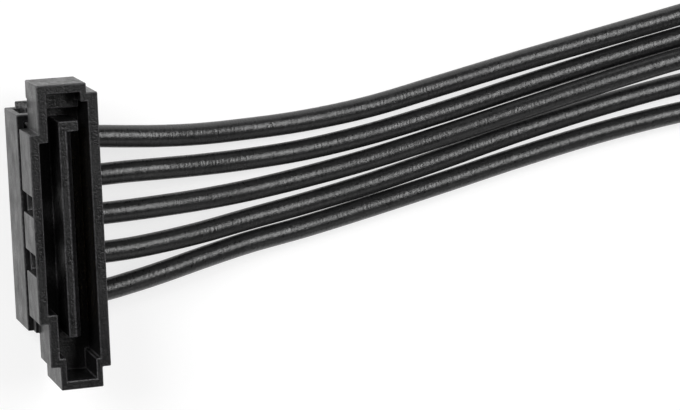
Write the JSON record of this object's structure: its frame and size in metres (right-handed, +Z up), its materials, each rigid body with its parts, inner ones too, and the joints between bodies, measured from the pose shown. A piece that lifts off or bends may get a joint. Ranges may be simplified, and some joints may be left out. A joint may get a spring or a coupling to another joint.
{
  "type": "sata power splitter cable",
  "caption": "Black power splitter lead: a shrouded drive power plug and outlets pressed onto a flat run of parallel wires.",
  "frame": {"origin": "under the middle of the plug, on the surface that the lead lies on", "axes": "+Z up, out of the plug's mating face; +X the way the wires leave the plug; +Y along the plug's long side, towards the short leg of its tongue"},
  "size_m": [0.1443, 0.0409, 0.0121],
  "materials": {
    "moulding": "satin moulded black plastic",
    "insulation": "satin black wire insulation",
    "contacts": "thin gold plating over a stamped copper alloy"
  },
  "bodies": {
    "root": {"plug_housing": "moulding", "plug_cap": "moulding", "plug_terminal_1": "contacts", "plug_terminal_2": "contacts", "plug_terminal_3": "contacts", "plug_terminal_4": "contacts", "plug_terminal_5": "contacts", "outlet_1_housing": "moulding", "outlet_1_cap": "moulding", "outlet_1_terminal_1": "contacts", "outlet_1_terminal_2": "contacts", "outlet_1_terminal_3": "contacts", "outlet_1_terminal_4": "contacts", "outlet_1_terminal_5": "contacts", "outlet_2_housing": "moulding", "outlet_2_cap": "moulding", "outlet_2_terminal_1": "contacts", "outlet_2_terminal_2": "contacts", "outlet_2_terminal_3": "contacts", "outlet_2_terminal_4": "contacts", "outlet_2_terminal_5": "contacts", "wire_1": "insulation", "wire_2": "insulation", "wire_3": "insulation", "wire_4": "insulation", "wire_5": "insulation"}
  },
  "joints": []
}
